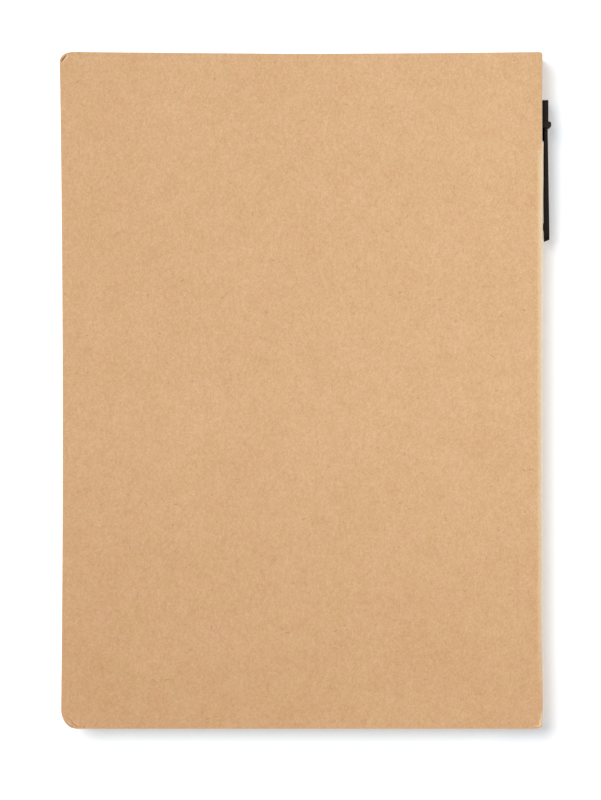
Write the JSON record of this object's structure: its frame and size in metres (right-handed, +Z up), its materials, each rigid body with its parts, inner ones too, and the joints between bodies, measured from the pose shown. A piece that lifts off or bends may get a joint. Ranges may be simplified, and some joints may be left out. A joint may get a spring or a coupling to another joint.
{
  "type": "notebook",
  "caption": "A5 notebook in a wraparound kraft card cover that opens at two spine folds, with glued pages and a push-button ball pen held in the spine by its clip",
  "frame": {"origin": "centre of the outline seen from above, clip included, at the level of the surface that the front cover lies on", "axes": "+X from the fore edge to the spine, +Y from the foot to the head, +Z up from the front cover to the back cover"},
  "size_m": [0.1528, 0.21, 0.013],
  "materials": {
    "kraft_card": "matte, with visible fibres",
    "pages": "matte, with leaf edges",
    "kraft_tube": "matte, wound",
    "black_plastic": "moulded, satin",
    "pale_plastic": "smooth",
    "brass": "turned",
    "steel": "drawn",
    "ink": "glossy"
  },
  "bodies": {
    "front": {"front_cover": "kraft_card"},
    "spine": {"spine_panel": "kraft_card", "pen_barrel": "kraft_tube", "clip_sleeve": "black_plastic", "tip_cone": "black_plastic", "refill_spring": "steel"},
    "back": {"back_cover": "kraft_card", "page_block": "pages"},
    "button": {"push_button": "black_plastic"},
    "refill": {"cam_rotor": "pale_plastic", "refill_tube": "pale_plastic", "refill_point": "brass", "writing_ball": "steel", "ink": "ink"}
  },
  "joints": [
    {"name": "spine_fold", "type": "hinge", "parent": "front", "child": "spine", "pos_m": [0.07321, 0, 0.00044], "axis": [0, 1, 0], "range_deg": [0, 90]},
    {"name": "cover_fold", "type": "hinge", "parent": "spine", "child": "back", "pos_m": [0.07321, 0, 0.01256], "axis": [0, 1, 0], "range_deg": [0, 90]},
    {"name": "button_press", "type": "slide", "parent": "spine", "child": "button", "axis": [0, -1, 0], "range_m": [0, 0.006], "stiffness_N_per_m": 250, "springref_m": -0.003},
    {"name": "refill_feed", "type": "slide", "parent": "spine", "child": "refill", "axis": [0, -1, 0], "range_m": [0, 0.006], "deforming": ["refill_spring"]}
  ],
  "couplings": [
    {"joint": "refill_feed", "follows": "button_press", "ratio": 1}
  ]
}
